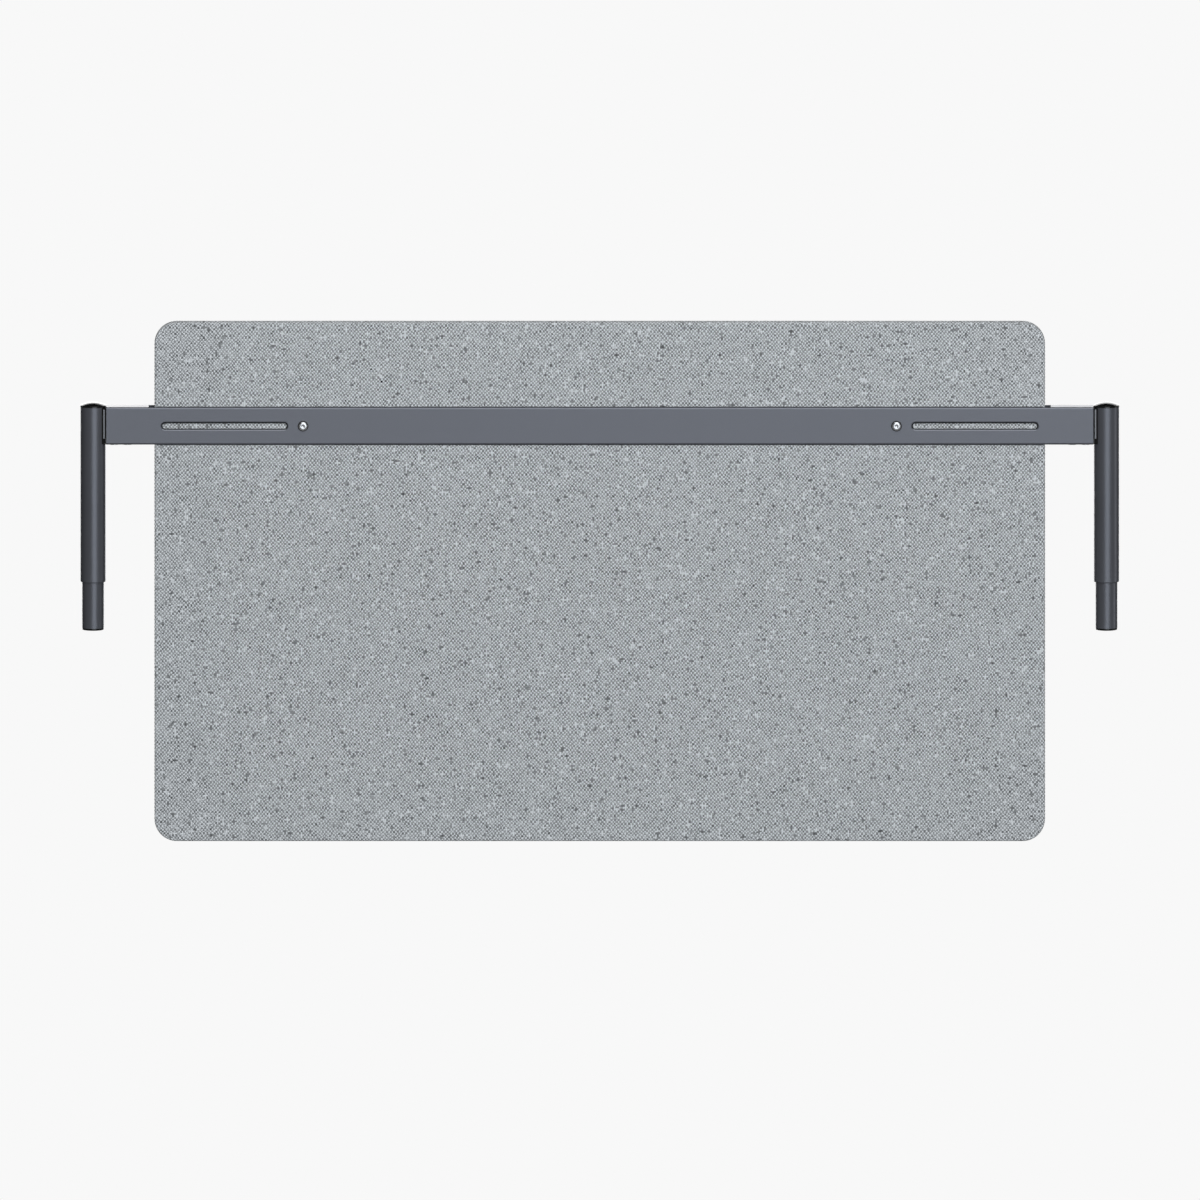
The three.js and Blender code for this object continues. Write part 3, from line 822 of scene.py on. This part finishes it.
def add_crossbar():
    low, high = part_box("crossbar_tube")
    centre = (low.z + high.z) / 2
    half_depth, half_height = high.y, (high.z - low.z) / 2
    rings = []
    for inset, x in ((BAR_EDGE, low.x), (0, low.x + BAR_EDGE), (0, high.x - BAR_EDGE), (BAR_EDGE, high.x)):
        outline = rounded_rectangle(half_depth - inset, half_height - inset, BAR_CORNER - inset, 10)
        rings.append(across(outline, x, centre))
    bar = lofted("crossbar", rings)
    bore_outline = rounded_rectangle(half_depth - BAR_WALL, half_height - BAR_WALL, BAR_INNER_CORNER, 4)
    bore = lofted("cutter", [across(bore_outline, x, centre) for x in (low.x - OVERCUT, high.x + OVERCUT)])
    slot_outline = rounded_rectangle(
        SCREEN_HALF_WIDTH + BAR_SLOT_END_GAP, FACE_DEPTH + BAR_SLOT_SIDE_GAP, SCREEN_SLOT_CORNER, 3)
    screen_slot = lofted("cutter", [
        [Vector((u, v, z)) for u, v in slot_outline] for z in (low.z - OVERCUT, high.z + OVERCUT)])
    cutters = [bore, screen_slot]
    for side, sign in SIDES:
        slot_x = sign * (SCREEN_HALF_WIDTH - SLOT_INSET - SLOT_LENGTH / 2)
        cutters.append(accessory_slot(slot_x, centre, low.y))
        slot_shade_liner(side, slot_x, centre, low.y)
        end_gap_shade(side, sign)
        for label in ("outer", "inner"):
            place = middle(f"{side}_bar_{label}_nut")
            hole = rod(NUT_BODY_RADIUS + GAP, -OVERCUT, BAR_WALL + OVERCUT)
            cutters.append(put(hole, place.x, place.y, low.z))
    cutters += screw_holes(SCREW_RADIUS + THREAD_GAP, 2 * low.y, 0)
    subtract(bar, *cutters)
    smooth(bar, bevel=BAR_BEVEL, segments=2, angle=50)
    dress(bar, "screen_frame", "graphite_paint", graphite, "crossbar_tube")
    shade_line_seals()


# ----------------------------------------------------------------------------------------------
# Screws


def threaded_rings(low, high, radius, pitch, depth, segments):
    """Rings of a screw thread along Z that runs out at both ends."""
    rings = []
    steps = max(2, round((high - low) / pitch * 8))
    for i in range(steps + 1):
        z = low + (high - low) * i / steps
        fade = min(1, (z - low) / pitch, (high - z) / pitch)
        ring = []
        for k in range(segments):
            turn = k / segments
            wave = abs(((z / pitch - turn) % 1) * 2 - 1)
            r = radius - depth * (1 - fade * wave)
            ring.append(Vector((r * math.cos(2 * math.pi * turn), r * math.sin(2 * math.pi * turn), z)))
        rings.append(ring)
    return rings


def hexagon_socket(radius, low, high):
    """A cutter for a hexagon key socket with a drilled cone at its floor."""
    return turned("cutter", [(0, low - radius * KEY_CONE), (radius, low), (radius, high)], 6)


def button_screw(name, node):
    low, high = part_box(node)
    head = (high.x - low.x) / 2
    height = HEAD_HEIGHT
    length = (high.y - low.y) - height
    dome_foot = HEX_KEY_RADIUS + HEAD_FLAT
    rings = [[Vector((0, 0, -length))]]
    rings += threaded_rings(-length, -THREAD_RUN_OUT, SCREW_RADIUS, SCREW_PITCH, THREAD_DEPTH, SCREW_ROUND)
    rings.append(circle(SCREW_RADIUS - THREAD_DEPTH, 0, SCREW_ROUND))
    profile = bend((head - HEAD_FOOT_ROUND, HEAD_FOOT_ROUND), HEAD_FOOT_ROUND, -90, 0, 3)
    profile += [(dome_foot + (head - dome_foot) * math.cos(a), HEAD_RIM + (height - HEAD_RIM) * math.sin(a))
                for a in (math.pi / 2 * i / 12 for i in range(13))]
    profile.append((0, height))
    rings += [circle(r, z, SCREW_ROUND) for r, z in profile]
    screw = lofted(name, rings)
    subtract(screw, hexagon_socket(HEX_KEY_RADIUS, height - HEX_KEY_DEPTH, height + OVERCUT))
    smooth(screw, bevel=HEAD_BEVEL, segments=2, angle=50)
    put(screw, (low.x + high.x) / 2, low.y + height, (low.z + high.z) / 2, "front")
    dress(screw, "screen_frame", "bright_steel", bright_steel, node)


def washer(name, node):
    low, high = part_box(node)
    outer = (high.x - low.x) / 2
    thick = high.y - low.y
    bore = SCREW_RADIUS + THREAD_GAP
    edge = thick * 0.3
    profile = [(bore, 0)]
    profile += bend((outer - edge, edge), edge, -90, 0, 4)
    profile += bend((outer - thick / 2, thick / 2), thick / 2, 0, 90, 6)
    profile.append((bore, thick))
    ring = smooth(turned(name, profile, SMALL_ROUND, looped=True))
    put(ring, (low.x + high.x) / 2, high.y, (low.z + high.z) / 2, "front")
    dress(ring, "screen_frame", "black_nylon", nylon, node)


def set_screw(name, node, direction):
    """A fully threaded screw with a key socket at the end that direction, down or back, points to."""
    low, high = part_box(node)
    axis = 2 if direction == "down" else 1
    length = (high - low)[axis]
    rings = [[Vector((0, 0, 0))]]
    rings += threaded_rings(0, length, SCREW_RADIUS, SCREW_PITCH, THREAD_DEPTH, SCREW_ROUND)
    rings.append([Vector((0, 0, length))])
    screw = lofted(name, rings)
    subtract(screw, hexagon_socket(SET_SCREW_KEY_RADIUS, length - SET_SCREW_KEY_DEPTH, length + OVERCUT))
    smooth(screw)
    centre = (low + high) / 2
    start = (centre.x, centre.y, high.z) if direction == "down" else (centre.x, low.y, centre.z)
    put(screw, *start, direction)
    dress(screw, "screen_frame", "black_oxide_steel", black_oxide, node)


# ----------------------------------------------------------------------------------------------
# Posts


def post_tube(side):
    node = side + "_post_tube"
    low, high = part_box(node)
    radius = (high.x - low.x) / 2
    length = high.z - low.z
    bore = radius - POST_WALL
    profile = [(bore, TUBE_CHAMFER), (bore + TUBE_CHAMFER, 0)]
    profile += bend((radius - POST_END_ROUND, POST_END_ROUND), POST_END_ROUND, -90, 0, 10)
    profile += bend((radius - POST_TOP_ROUND, length - POST_TOP_ROUND), POST_TOP_ROUND, 0, 90, 5)
    profile.append((bore, length))
    post = turned(side + "_post", profile, ROUND, looped=True)
    hole = put(rod(SCREW_RADIUS + THREAD_GAP, 0, radius + OVERCUT), 0, 0, LOCK_HEIGHT, "back")
    subtract(post, hole)
    smooth(post)
    put(post, (low.x + high.x) / 2, (low.y + high.y) / 2, low.z)
    dress(post, "screen_frame", "graphite_paint", graphite, node)


def plug(name, node, bore, flange, direction, body, slot, material):
    """A plug with a grooved skirt in a bore. flange is its outline outside the tube, from rim to axis."""
    low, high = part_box(node)
    skirt = bore - GAP
    profile = [(0, -PLUG_WALL)]
    profile += [(skirt - PLUG_WALL, -PLUG_WALL), (skirt - PLUG_WALL, -PLUG_SKIRT)]
    profile += [(skirt - PLUG_TAPER, -PLUG_SKIRT), (skirt, -PLUG_SKIRT + PLUG_LEAD)]
    for i in range(GROOVE_COUNT):
        groove = -PLUG_SKIRT + GROOVE_START + GROOVE_PITCH * i
        profile += [(skirt, groove - GROOVE_HALF), (skirt - GROOVE_DEPTH, groove)]
        profile.append((skirt, groove + GROOVE_HALF))
    profile.append((skirt, 0))
    profile += flange
    piece = smooth(turned(name, profile, ROUND))
    centre = (low + high) / 2
    z = low.z + PLUG_SKIRT if direction == "up" else high.z - PLUG_SKIRT
    put(piece, centre.x, centre.y, z, direction)
    dress(piece, body, slot, material, node)


def post_cap(side, bore):
    node = side + "_post_cap"
    low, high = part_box(node)
    rim = (high.x - low.x) / 2
    top = high.z - low.z - PLUG_SKIRT + CAP_CROWN
    inner_rim = length_of(side + "_post_tube", 0) / 2 + CAP_CLEARANCE
    flange = [(inner_rim, 0), (inner_rim, -CAP_LAP)]
    flange += bend((rim - FLANGE_ROUND, FLANGE_ROUND - CAP_LAP), FLANGE_ROUND, -90, 0, 3)
    flange += bend((rim - CAP_RIM_ROUND, CAP_RIM - CAP_RIM_ROUND), CAP_RIM_ROUND, 0, CAP_RIM_TURN, 8)
    foot_radius, foot_height = flange[-1]
    for i in range(1, CAP_DOME_STEPS + 1):
        radius = foot_radius * (1 - i / CAP_DOME_STEPS)
        flange.append((radius, foot_height + (top - foot_height) * (1 - (radius / foot_radius) ** 2)))
    plug(side + "_cap", node, bore, flange, "up", "screen_frame", "black_gloss_plastic", black_gloss)


def foot_flange(node, height, round_edge):
    radius = length_of(node, 0) / 2
    flange = bend((radius - FLANGE_ROUND, FLANGE_ROUND), FLANGE_ROUND, -90, 0, 3)
    flange += bend((radius - round_edge, height - round_edge), round_edge, 0, 90, 8)
    flange.append((0, height))
    return flange


def lower_tube(side, body):
    node = side + "_lower_tube"
    low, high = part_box(node)
    radius = (high.x - low.x) / 2
    bore = radius - POST_WALL
    length = high.z - low.z
    edge = TUBE_CHAMFER
    profile = [(bore, edge), (bore + edge, 0), (radius - edge, 0), (radius, edge)]
    profile += [(radius, length - edge), (radius - edge, length)]
    profile += [(bore + edge, length), (bore, length - edge)]
    tube = smooth(turned(side + "_leg", profile, ROUND, looped=True))
    put(tube, (low.x + high.x) / 2, (low.y + high.y) / 2, low.z)
    dress(tube, body, "graphite_paint", graphite, node)
    foot = side + "_foot_plug"
    plug(side + "_foot", foot, bore, foot_flange(foot, FOOT_HEIGHT, FOOT_ROUND), "down", body,
         "black_gloss_plastic", black_gloss)
    glide = side + "_tube_glide"
    glide_height = length_of(glide, 2) - PLUG_SKIRT
    plug(side + "_glide", glide, bore, foot_flange(glide, glide_height, FOOT_ROUND), "up", body,
         "black_nylon", nylon)


def lock_boss(side):
    """The threaded boss on the back of the post, its foot hollowed to sit on the tube."""
    node = side + "_lock_boss"
    low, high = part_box(node)
    radius = (high.x - low.x) / 2
    post_radius = length_of(side + "_post_tube", 0) / 2
    profile = [(0, 0), (radius, 0)]
    profile += bend((radius - BOSS_ROUND, high.y - BOSS_ROUND), BOSS_ROUND, 0, 90, 6)
    profile.append((0, high.y))
    boss = turned(side + "_boss", profile, SMALL_ROUND)
    centre = (low + high) / 2
    put(boss, centre.x, 0, centre.z, "back")
    seat = put(rod(post_radius + GAP, -3 * radius, 3 * radius, ROUND), centre.x, 0, centre.z)
    bore = put(rod(SCREW_RADIUS + THREAD_GAP, 0, 2 * high.y), centre.x, 0, centre.z, "back")
    subtract(boss, seat, bore)
    smooth(boss, bevel=BOSS_BEVEL, segments=2, angle=50)
    dress(boss, "screen_frame", "graphite_paint", graphite, node)


def bevelled_copy(name, node, width, slot, material):
    """A CAD piece of the screen frame again, with its edges rounded."""
    piece = bpy.data.objects.new(name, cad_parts[node].data.copy())
    bpy.context.scene.collection.objects.link(piece)
    bm = bmesh.new()
    bm.from_mesh(piece.data)
    bmesh.ops.remove_doubles(bm, verts=bm.verts, dist=SAME_PLACE)
    bmesh.ops.dissolve_limit(bm, angle_limit=FLAT_ANGLE, verts=bm.verts, edges=bm.edges)
    bm.to_mesh(piece.data)
    bm.free()
    smooth(piece, bevel=width, segments=2)
    dress(piece, "screen_frame", slot, material, node)


def add_posts():
    bore = length_of("left_post_tube", 0) / 2 - POST_WALL
    for side, _ in SIDES:
        post_tube(side)
        post_cap(side, bore)
        lower_tube(side, side + "_leg")
        lock_boss(side)
        set_screw(side + "_lock_set_screw", side + "_lock_screw", "back")
        bevelled_copy(side + "_bracket", side + "_post_bracket", 0.35 * MM, "cast_bracket", casting)
        button_screw(side + "_button_screw", side + "_screen_screw")
        washer(side + "_washer", side + "_screw_washer")
        bevelled_copy(side + "_insert", side + "_screen_insert", 0.25 * MM, "bright_steel", bright_steel)
        for label in ("outer", "inner"):
            stem = f"{side}_bar_{label}"
            set_screw(stem + "_grub", stem + "_set_screw", "down")
            bevelled_copy(stem + "_rivet_nut", stem + "_nut", 0.2 * MM, "bright_steel", bright_steel)


# ----------------------------------------------------------------------------------------------
# Studio

VIEW_ELEVATION = math.radians(8)
VIEW_WIDTH = 1.6175
VIEW_DISTANCE = 6
VIEW_CENTRE = Vector((0.0003, 0, 0))
VIEW_DROP = 0.02474
VIEW_FAR_END = 200
BACKDROP = 0.939
# Ambient light on the object: brighter in front than behind, and dimmer from above.
AMBIENT_FRONT = 0.2
AMBIENT_BACK = 0.07
AMBIENT_ABOVE = 0.2  # share of the light from level directions
FLOOR_DROP = 1.15
FLOOR_REACH = 40


def add_camera():
    data = bpy.data.cameras.new("camera")
    data.type = "ORTHO"
    data.ortho_scale = VIEW_WIDTH
    data.clip_end = VIEW_FAR_END
    camera = bpy.data.objects.new("camera", data)
    bpy.context.scene.collection.objects.link(camera)
    back = Vector((0, -math.cos(VIEW_ELEVATION), math.sin(VIEW_ELEVATION)))
    up = Vector((0, math.sin(VIEW_ELEVATION), math.cos(VIEW_ELEVATION)))
    camera.location = VIEW_CENTRE + back * VIEW_DISTANCE - up * VIEW_DROP
    camera.rotation_mode = "QUATERNION"
    camera.rotation_quaternion = (-back).to_track_quat("-Z", "Y")
    bpy.context.scene.camera = camera


def softbox(name, azimuth, elevation, distance, width, height, radiance, colour):
    """A soft area light that faces the object, with the radiance that its surface shows."""
    data = bpy.data.lights.new(name, "AREA")
    data.shape = "RECTANGLE"
    data.size = width
    data.size_y = height
    data.energy = radiance * math.pi * width * height
    data.color = colour
    lamp = bpy.data.objects.new(name, data)
    bpy.context.scene.collection.objects.link(lamp)
    a, e = math.radians(azimuth), math.radians(elevation)
    away = Vector((math.sin(a) * math.cos(e), -math.cos(a) * math.cos(e), math.sin(e)))
    lamp.location = away * distance
    lamp.rotation_mode = "QUATERNION"
    lamp.rotation_quaternion = (-away).to_track_quat("-Z", "Y")
    lamp.visible_camera = False


def add_lights():
    cool = (0.9, 0.95, 1.0)
    white = (1, 1, 1)
    warm = (1.0, 0.93, 0.88)
    softbox("key", azimuth=11, elevation=20, distance=12, width=9.2, height=14, radiance=1.75, colour=cool)
    softbox("overhead", azimuth=5, elevation=58, distance=8, width=9, height=5, radiance=1.8, colour=white)
    softbox("side", azimuth=92, elevation=2, distance=4, width=0.9, height=3, radiance=0.9, colour=white)
    softbox("back", azimuth=202, elevation=11, distance=2.7, width=1.4, height=0.9, radiance=0.9, colour=warm)
    softbox("rear", azimuth=180, elevation=8, distance=9, width=9, height=8, radiance=2.3, colour=white)


def add_backdrop():
    world = bpy.data.worlds.new("studio")
    world.use_nodes = True
    bpy.context.scene.world = world
    tree = world.node_tree
    ambient = tree.nodes["Background"]
    ambient.inputs["Color"].default_value = grey(1)
    direction = tree.nodes.new("ShaderNodeTexCoord")
    axes = tree.nodes.new("ShaderNodeSeparateXYZ")
    tree.links.new(direction.outputs["Generated"], axes.inputs[0])
    fade = []
    front_to_back = ("Y", -0.5, 0.7, AMBIENT_FRONT, AMBIENT_BACK)
    level_to_above = ("Z", 0.2, 0.45, 1, AMBIENT_ABOVE)
    for axis, low, high, out_low, out_high in (front_to_back, level_to_above):
        ramp = tree.nodes.new("ShaderNodeMapRange")
        tree.links.new(axes.outputs[axis], ramp.inputs[0])
        for socket, value in enumerate((low, high, out_low, out_high), 1):
            ramp.inputs[socket].default_value = value
        fade.append(ramp.outputs[0])
    both = tree.nodes.new("ShaderNodeMath")
    both.operation = "MULTIPLY"
    tree.links.new(fade[0], both.inputs[0])
    tree.links.new(fade[1], both.inputs[1])
    tree.links.new(both.outputs[0], ambient.inputs["Strength"])
    backdrop = tree.nodes.new("ShaderNodeBackground")
    backdrop.inputs["Color"].default_value = grey(BACKDROP)
    seen = tree.nodes.new("ShaderNodeLightPath")
    mix = tree.nodes.new("ShaderNodeMixShader")
    tree.links.new(seen.outputs["Is Camera Ray"], mix.inputs[0])
    tree.links.new(ambient.outputs[0], mix.inputs[1])
    tree.links.new(backdrop.outputs[0], mix.inputs[2])
    tree.links.new(mix.outputs[0], tree.nodes["World Output"].inputs["Surface"])


def add_floor():
    """A plain pale floor, as even as the backdrop, that casts no light of its own on the object."""
    material = bpy.data.materials.new("studio_floor")
    material.use_nodes = True
    tree = material.node_tree
    tree.nodes.clear()
    glow = tree.nodes.new("ShaderNodeEmission")
    glow.inputs["Color"].default_value = grey(BACKDROP)
    out = tree.nodes.new("ShaderNodeOutputMaterial")
    tree.links.new(glow.outputs[0], out.inputs["Surface"])
    bm = bmesh.new()
    level = cad_low.z - FLOOR_DROP
    corners = ((-1, -1), (1, -1), (1, 1), (-1, 1))
    bm.faces.new([bm.verts.new((FLOOR_REACH * u, FLOOR_REACH * v, level)) for u, v in corners])
    floor = add_piece("studio_floor", bm)
    floor.data.materials.append(material)
    for ray in ("diffuse", "glossy", "transmission", "shadow", "volume_scatter"):
        setattr(floor, "visible_" + ray, False)


# ----------------------------------------------------------------------------------------------

add_camera()
add_foam()
add_fabric()
add_seam()
add_crossbar()
add_posts()
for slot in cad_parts["core_board"].material_slots:
    slot.material = board
add_lights()
add_backdrop()
add_floor()

view = bpy.context.scene.view_settings
view.view_transform = "Standard"
view.look = "None"
